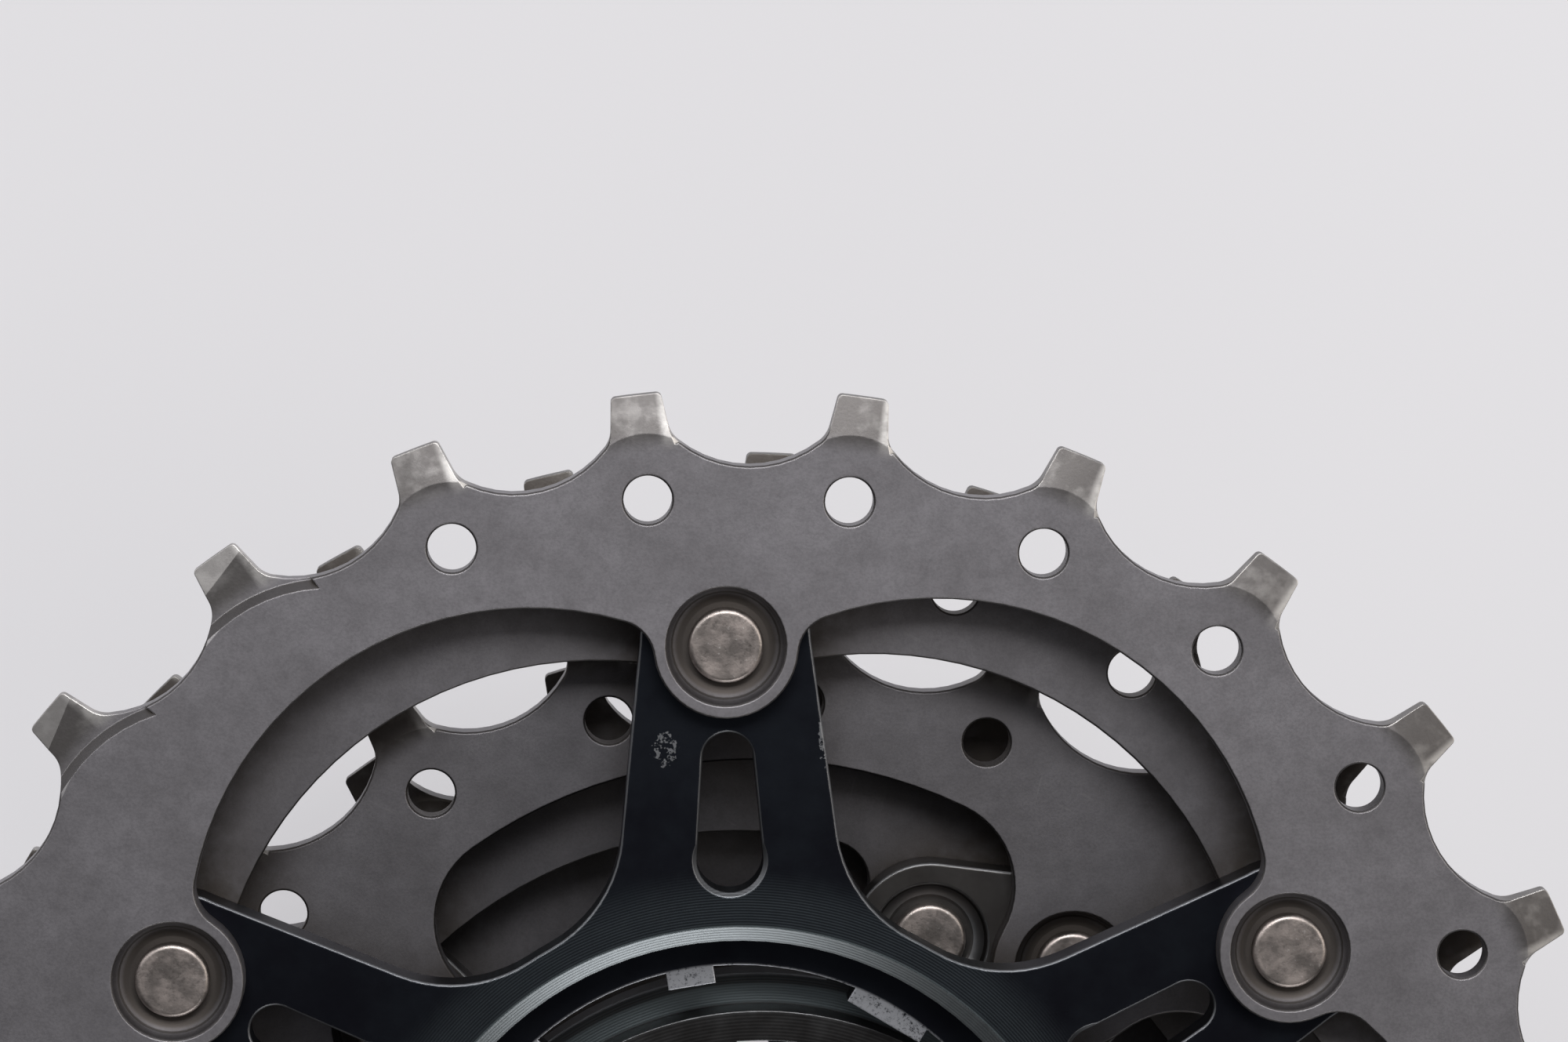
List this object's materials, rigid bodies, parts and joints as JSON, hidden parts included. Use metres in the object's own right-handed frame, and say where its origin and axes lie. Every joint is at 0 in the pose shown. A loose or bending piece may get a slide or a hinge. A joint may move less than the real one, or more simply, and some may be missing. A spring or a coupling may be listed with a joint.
{
  "type": "bicycle cassette",
  "caption": "Road bicycle cassette: two riveted sprocket clusters on dark spiders, loose small sprockets, spacers and a splined lockring.",
  "frame": {"origin": "on the axis of the loose stack, on the plane that the lockring stands on", "axes": "+Z along the freehub axis, from the smallest sprocket to the largest, which faces the spokes; +Y towards the carrier arm that has the rivet nearest the top of the view"},
  "size_m": [0.1021, 0.1021, 0.0393],
  "materials": {
    "sprocket_steel": "satin nickel plating, worn bright on the teeth",
    "rivet_steel": "turned and upset steel",
    "carrier_anodised": "dark blue-black anodised, bare on worn corners",
    "spacer_alloy": "black anodised",
    "lockring_alloy": "dark anodised with bare edges",
    "washer_steel": "satin"
  },
  "bodies": {
    "cog_12": {"sprocket_12t": "sprocket_steel"},
    "washer": {"lock_washer": "washer_steel"},
    "lockring": {"lockring": "lockring_alloy"},
    "cog_13": {"sprocket_13t": "sprocket_steel"},
    "cog_14": {"sprocket_14t": "sprocket_steel"},
    "spacer_14": {"spacer_above_14t": "spacer_alloy"},
    "cog_15": {"sprocket_15t": "sprocket_steel"},
    "spacer_15": {"spacer_above_15t": "spacer_alloy"},
    "cog_16": {"sprocket_16t": "sprocket_steel"},
    "spacer_16": {"spacer_above_16t": "spacer_alloy"},
    "cog_17": {"sprocket_17t": "sprocket_steel"},
    "spacer_17": {"spacer_above_17t": "spacer_alloy"},
    "small_cluster": {"sprocket_19t": "sprocket_steel", "carrier_small": "carrier_anodised", "sprocket_21t": "sprocket_steel", "rivets_19t": "rivet_steel", "rivets_21t": "rivet_steel"},
    "between_clusters": {"carrier_spacer": "spacer_alloy"},
    "big_cluster": {"sprocket_25t": "sprocket_steel", "sprocket_23t": "sprocket_steel", "carrier_large": "carrier_anodised", "rivets_large": "rivet_steel"}
  },
  "joints": [
    {"name": "cog_13_lift", "type": "slide", "parent": "cog_12", "child": "cog_13", "axis": [0, 0, 1], "range_m": [0, 0.01]},
    {"name": "cog_14_lift", "type": "slide", "parent": "cog_13", "child": "cog_14", "axis": [0, 0, 1], "range_m": [0, 0.01]},
    {"name": "spacer_14_lift", "type": "slide", "parent": "cog_14", "child": "spacer_14", "axis": [0, 0, 1], "range_m": [0, 0.01]},
    {"name": "cog_15_lift", "type": "slide", "parent": "spacer_14", "child": "cog_15", "axis": [0, 0, 1], "range_m": [0, 0.01]},
    {"name": "spacer_15_lift", "type": "slide", "parent": "cog_15", "child": "spacer_15", "axis": [0, 0, 1], "range_m": [0, 0.01]},
    {"name": "cog_16_lift", "type": "slide", "parent": "spacer_15", "child": "cog_16", "axis": [0, 0, 1], "range_m": [0, 0.01]},
    {"name": "spacer_16_lift", "type": "slide", "parent": "cog_16", "child": "spacer_16", "axis": [0, 0, 1], "range_m": [0, 0.01]},
    {"name": "cog_17_lift", "type": "slide", "parent": "spacer_16", "child": "cog_17", "axis": [0, 0, 1], "range_m": [0, 0.01]},
    {"name": "spacer_17_lift", "type": "slide", "parent": "cog_17", "child": "spacer_17", "axis": [0, 0, 1], "range_m": [0, 0.01]},
    {"name": "small_cluster_lift", "type": "slide", "parent": "spacer_17", "child": "small_cluster", "axis": [0, 0, 1], "range_m": [0, 0.01]},
    {"name": "between_clusters_lift", "type": "slide", "parent": "small_cluster", "child": "between_clusters", "axis": [0, 0, 1], "range_m": [0, 0.01]},
    {"name": "big_cluster_slip", "type": "slide", "parent": "between_clusters", "child": "big_cluster", "axis": [0.2773, -0.9608, 0], "range_m": [0, 0.00505]},
    {"name": "lockring_travel", "type": "slide", "parent": "cog_12", "child": "washer", "axis": [0, 0, -1], "range_m": [0, 0.005]},
    {"name": "lockring_turn", "type": "hinge", "parent": "washer", "child": "lockring", "pos_m": [0, 0, 0.001], "axis": [0, 0, -1], "range_deg": [0, 1620]}
  ],
  "couplings": [
    {"joint": "lockring_travel", "follows": "lockring_turn", "m_per_rad": 0.00016839}
  ]
}
